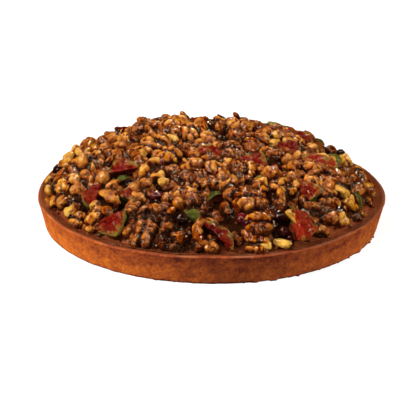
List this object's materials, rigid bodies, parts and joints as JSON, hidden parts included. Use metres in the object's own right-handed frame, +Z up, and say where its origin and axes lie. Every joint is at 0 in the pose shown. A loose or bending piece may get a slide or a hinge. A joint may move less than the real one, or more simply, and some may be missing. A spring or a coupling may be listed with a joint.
{
  "type": "caramel nut tart",
  "caption": "Large round open tart: a low straight-sided shortcrust case filled with caramel, under a domed heap of glazed walnuts with fig wedges, dark berries and cranberries.",
  "frame": {"origin": "centre of the round underside of the pastry case, on the surface the tart rests on", "axes": "+Z up; -Y towards the side that the picture shows, +X to its right"},
  "size_m": [0.2995, 0.2995, 0.0713],
  "materials": {
    "pastry": "baked shortcrust, dull with a thin browned glaze on the rim",
    "caramel": "set dark caramel, glossy",
    "nuts": "caramel-glazed walnuts and hazelnuts, glossy",
    "fig": "moist cut fig: red seeded flesh, pale pith, green skin",
    "berry": "glazed dark berry, glossy",
    "cranberry": "glazed dried cranberry, glossy"
  },
  "bodies": {
    "root": {"case": "pastry", "filling": "caramel", "nut_heap": "nuts", "fig_01": "fig", "fig_02": "fig", "fig_03": "fig", "fig_04": "fig", "fig_05": "fig", "fig_06": "fig", "fig_07": "fig", "fig_08": "fig", "fig_09": "fig", "fig_10": "fig", "fig_11": "fig", "fig_12": "fig", "fig_13": "fig", "fig_14": "fig", "fig_15": "fig", "fig_16": "fig", "fig_17": "fig", "fig_18": "fig", "fig_19": "fig", "fig_20": "fig", "fig_21": "fig", "fig_22": "fig", "fig_23": "fig", "fig_24": "fig", "berry_01": "berry", "berry_02": "berry", "berry_03": "berry", "berry_04": "berry", "berry_05": "berry", "berry_06": "berry", "berry_07": "berry", "berry_08": "berry", "berry_09": "berry", "berry_10": "berry", "berry_11": "berry", "berry_12": "berry", "berry_13": "berry", "berry_14": "berry", "berry_15": "berry", "berry_16": "berry", "berry_17": "berry", "berry_18": "berry", "berry_19": "berry", "berry_20": "berry", "cranberry_01": "cranberry", "cranberry_02": "cranberry", "cranberry_03": "cranberry", "cranberry_04": "cranberry", "cranberry_05": "cranberry", "cranberry_06": "cranberry", "cranberry_07": "cranberry", "cranberry_08": "cranberry", "cranberry_09": "cranberry"}
  },
  "joints": []
}
